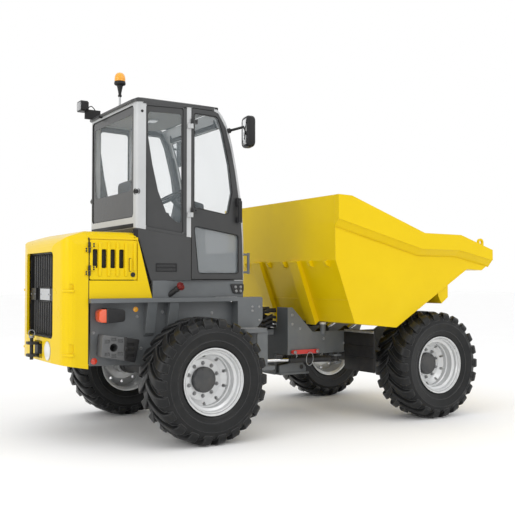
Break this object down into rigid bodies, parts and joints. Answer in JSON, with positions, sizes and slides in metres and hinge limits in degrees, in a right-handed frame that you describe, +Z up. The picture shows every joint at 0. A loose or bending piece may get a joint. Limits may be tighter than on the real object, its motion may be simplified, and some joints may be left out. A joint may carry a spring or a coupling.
{
  "type": "articulated site dumper with cab",
  "caption": "Articulated site dumper with an enclosed cab over a rear engine hood, lugged tyres and a forward-tipping skip on an oscillating front frame.",
  "frame": {"origin": "on the ground at mid length and mid width", "axes": "+X towards the skip, +Y to the left, +Z up"},
  "size_m": [5.06, 2.49, 3.602],
  "materials": {
    "frame_grey": "satin",
    "axle_grey": "matte",
    "engine": "matte",
    "yellow_paint": "gloss",
    "skip_yellow": "gloss",
    "black_plastic": "matte",
    "dark_grey_paint": "satin",
    "light_grey_paint": "satin",
    "glass": "clear",
    "seat_fabric": "woven",
    "amber_lens": "gloss",
    "step_metal": "grip",
    "black_steel": "satin",
    "chock_plastic": "matte",
    "red_lens": "gloss",
    "red_plastic": "gloss",
    "plate_white": "satin",
    "rubber_sheet": "matte",
    "red_paint": "satin",
    "rod_chrome": "polished",
    "tyre_rubber": "matte",
    "rim_silver": "satin"
  },
  "bodies": {
    "rear_frame": {"rear_chassis": "frame_grey", "rear_axle": "axle_grey", "engine_block": "engine", "tail_cover": "yellow_paint", "rear_grille": "black_plastic", "hood_top": "yellow_paint", "hood_skirts": "yellow_paint", "cab_skirts": "frame_grey", "cab_tub": "dark_grey_paint", "cab_posts": "light_grey_paint", "cab_roof": "light_grey_paint", "rear_window": "glass", "quarter_windows": "glass", "windscreen": "glass", "glass_bands": "black_plastic", "seat": "seat_fabric", "console": "black_plastic", "steering_wheel": "black_plastic", "mirrors": "black_plastic", "work_lamps": "black_plastic", "beacon": "amber_lens", "side_tanks": "frame_grey", "steps": "step_metal", "tow_jaw": "black_steel", "wheel_chocks": "chock_plastic", "tail_lamps": "red_lens", "filler_cap": "red_plastic", "blank_plates": "plate_white"},
    "yoke": {"pivot_yoke": "black_steel"},
    "front_frame": {"front_chassis": "frame_grey", "front_axle": "axle_grey", "mudflaps": "rubber_sheet", "lock_bar": "red_paint"},
    "skip_body": {"skip": "skip_yellow", "skip_rim": "skip_yellow"},
    "ram_barrels": {"tip_barrels": "black_steel"},
    "ram_rods": {"tip_rods": "rod_chrome"},
    "steer_barrel_right_body": {"steer_barrel_right": "black_steel"},
    "steer_rod_right_body": {"steer_rod_right": "rod_chrome"},
    "door_right_body": {"door_right": "dark_grey_paint", "door_glass_right": "glass"},
    "side_door_right_body": {"side_door_right": "yellow_paint"},
    "steer_barrel_left_body": {"steer_barrel_left": "black_steel"},
    "steer_rod_left_body": {"steer_rod_left": "rod_chrome"},
    "door_left_body": {"door_left": "dark_grey_paint", "door_glass_left": "glass"},
    "side_door_left_body": {"side_door_left": "yellow_paint"},
    "wheel_rear_right_body": {"tyre_rear_right": "tyre_rubber", "rim_rear_right": "rim_silver"},
    "wheel_rear_left_body": {"tyre_rear_left": "tyre_rubber", "rim_rear_left": "rim_silver"},
    "wheel_front_right_body": {"tyre_front_right": "tyre_rubber", "rim_front_right": "rim_silver"},
    "wheel_front_left_body": {"tyre_front_left": "tyre_rubber", "rim_front_left": "rim_silver"}
  },
  "joints": [
    {"name": "frame_oscillation", "type": "hinge", "parent": "rear_frame", "child": "yoke", "pos_m": [-0.06, 0, 0.73], "axis": [1, 0, 0], "range_deg": [-12, 12]},
    {"name": "articulation_steer", "type": "hinge", "parent": "yoke", "child": "front_frame", "pos_m": [-0.06, 0, 0.73], "axis": [0, 0, 1], "range_deg": [-33, 33]},
    {"name": "skip_tip", "type": "hinge", "parent": "front_frame", "child": "skip_body", "pos_m": [1.83, 0, 1.09], "axis": [0, 1, 0], "range_deg": [0, 68]},
    {"name": "tip_ram_swing", "type": "hinge", "parent": "front_frame", "child": "ram_barrels", "pos_m": [0.45, 0, 0.54], "axis": [0, 1, 0], "range_deg": [-6, 6]},
    {"name": "tip_ram_slide", "type": "slide", "parent": "ram_barrels", "child": "ram_rods", "axis": [0.8687, 0, 0.4954], "range_m": [-0.01, 0.34]},
    {"name": "steer_ram_swing_right", "type": "hinge", "parent": "front_frame", "child": "steer_barrel_right_body", "pos_m": [0.77, -0.48, 0.638], "axis": [0, 0, 1], "range_deg": [-8, 8]},
    {"name": "steer_ram_slide_right", "type": "slide", "parent": "steer_barrel_right_body", "child": "steer_rod_right_body", "axis": [-0.9783, 0.2072, 0], "range_m": [-0.19, 0.19]},
    {"name": "cab_door_right", "type": "hinge", "parent": "rear_frame", "child": "door_right_body", "pos_m": [-1.14, -0.704, 2], "axis": [0, 0, -1], "range_deg": [0, 100]},
    {"name": "service_door_right", "type": "hinge", "parent": "rear_frame", "child": "side_door_right_body", "pos_m": [-2.16, -0.667, 1.7], "axis": [0, 0, -1], "range_deg": [0, 105]},
    {"name": "steer_ram_swing_left", "type": "hinge", "parent": "front_frame", "child": "steer_barrel_left_body", "pos_m": [0.77, 0.48, 0.638], "axis": [0, 0, 1], "range_deg": [-8, 8]},
    {"name": "steer_ram_slide_left", "type": "slide", "parent": "steer_barrel_left_body", "child": "steer_rod_left_body", "axis": [-0.9783, -0.2072, 0], "range_m": [-0.19, 0.19]},
    {"name": "cab_door_left", "type": "hinge", "parent": "rear_frame", "child": "door_left_body", "pos_m": [-1.14, 0.704, 2], "axis": [0, 0, 1], "range_deg": [0, 100]},
    {"name": "service_door_left", "type": "hinge", "parent": "rear_frame", "child": "side_door_left_body", "pos_m": [-2.16, 0.667, 1.7], "axis": [0, 0, 1], "range_deg": [0, 105]},
    {"name": "wheel_rear_right", "type": "hinge", "parent": "rear_frame", "child": "wheel_rear_right_body", "pos_m": [-1.17, -1, 0.58], "axis": [0, 1, 0], "continuous": true},
    {"name": "wheel_rear_left", "type": "hinge", "parent": "rear_frame", "child": "wheel_rear_left_body", "pos_m": [-1.17, 1, 0.58], "axis": [0, 1, 0], "continuous": true},
    {"name": "wheel_front_right", "type": "hinge", "parent": "front_frame", "child": "wheel_front_right_body", "pos_m": [1.64, -1, 0.58], "axis": [0, 1, 0], "continuous": true},
    {"name": "wheel_front_left", "type": "hinge", "parent": "front_frame", "child": "wheel_front_left_body", "pos_m": [1.64, 1, 0.58], "axis": [0, 1, 0], "continuous": true}
  ],
  "couplings": [
    {"joint": "tip_ram_swing", "follows": "skip_tip", "ratio": -0.017491},
    {"joint": "tip_ram_slide", "follows": "skip_tip", "m_per_rad": 0.25318},
    {"joint": "steer_ram_swing_right", "follows": "articulation_steer", "ratio": 0.065582},
    {"joint": "steer_ram_swing_left", "follows": "articulation_steer", "ratio": 0.065582},
    {"joint": "steer_ram_slide_right", "follows": "articulation_steer", "m_per_rad": 0.27863},
    {"joint": "steer_ram_slide_left", "follows": "articulation_steer", "m_per_rad": -0.27863}
  ]
}
